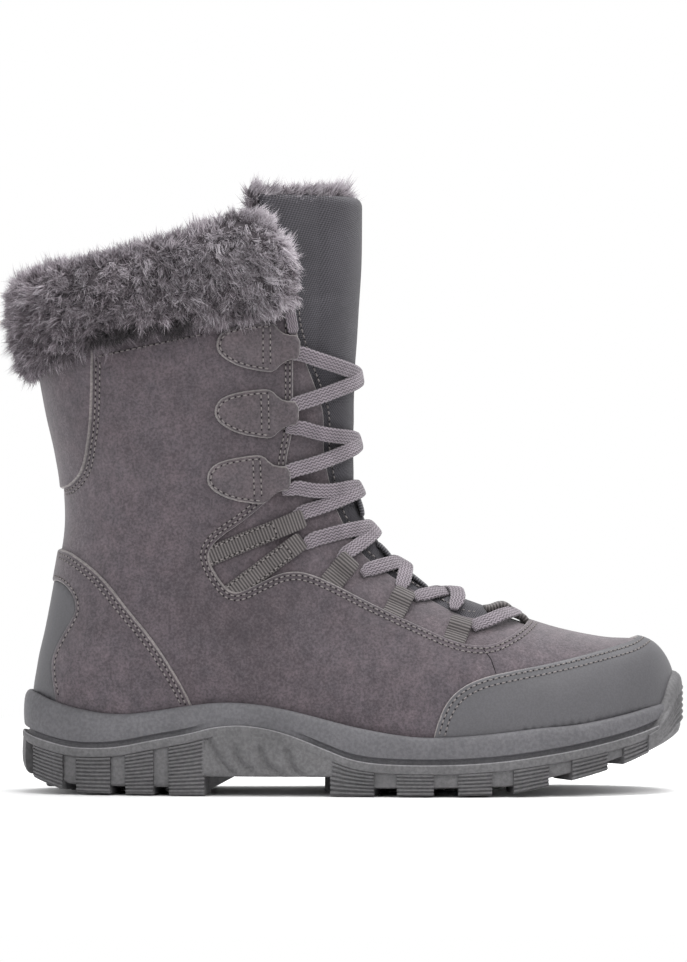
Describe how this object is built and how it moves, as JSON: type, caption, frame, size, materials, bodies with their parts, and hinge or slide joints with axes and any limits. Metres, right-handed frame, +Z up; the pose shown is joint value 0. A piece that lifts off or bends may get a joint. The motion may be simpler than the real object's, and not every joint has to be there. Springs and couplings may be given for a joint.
{
  "type": "snow boot",
  "caption": "Ankle-high laced snow boot for the right foot, with a lugged rubber sole, suede upper, fur cuff and padded tongue.",
  "frame": {"origin": "on the floor under the middle of the heel's flat", "axes": "+X towards the toe, +Y towards the inner side, +Z up"},
  "size_m": [0.2986, 0.1208, 0.2652],
  "materials": {
    "outsole_rubber": "matte grey rubber with fine ribs",
    "midsole_rubber": "matte grey moulded midsole",
    "insole_felt": "grey felt sock",
    "suede": "mauve-grey suede with lighter cut edges",
    "smooth_synthetic": "smooth grey coated synthetic with a soft sheen",
    "tongue_nylon": "dark grey woven nylon",
    "fur": "grey deep-pile fur with light tips",
    "webbing": "grey-brown ribbed webbing",
    "lace": "light mauve-grey woven flat lace"
  },
  "bodies": {
    "root": {"outsole": "outsole_rubber", "midsole": "midsole_rubber", "insole": "insole_felt", "upper": "suede", "facing": "suede", "heel_counter": "suede", "collar_back_panel": "suede", "lace_tab_outer_1": "suede", "lace_tab_outer_2": "suede", "lace_tab_outer_3": "suede", "lace_tab_inner_1": "suede", "lace_tab_inner_2": "suede", "lace_tab_inner_3": "suede", "tongue": "tongue_nylon", "tongue_fur": "fur", "collar_fur": "fur", "toe_cap": "smooth_synthetic", "heel_patch": "smooth_synthetic", "strap_upper_outer": "webbing", "strap_lower_outer": "webbing", "strap_upper_inner": "webbing", "strap_lower_inner": "webbing", "lace_loop_outer_1": "webbing", "lace_loop_outer_2": "webbing", "lace_loop_outer_3": "webbing", "lace_loop_inner_1": "webbing", "lace_loop_inner_2": "webbing", "lace_loop_inner_3": "webbing", "tongue_guide_1": "webbing", "tongue_guide_2": "webbing", "tongue_guide_3": "webbing", "toe_loop": "webbing", "lace_crossing_1": "lace", "lace_crossing_2": "lace", "lace_crossing_3": "lace", "lace_crossing_4": "lace", "lace_crossing_5": "lace", "lace_crossing_6": "lace", "lace_toe_bar": "lace"}
  },
  "joints": []
}
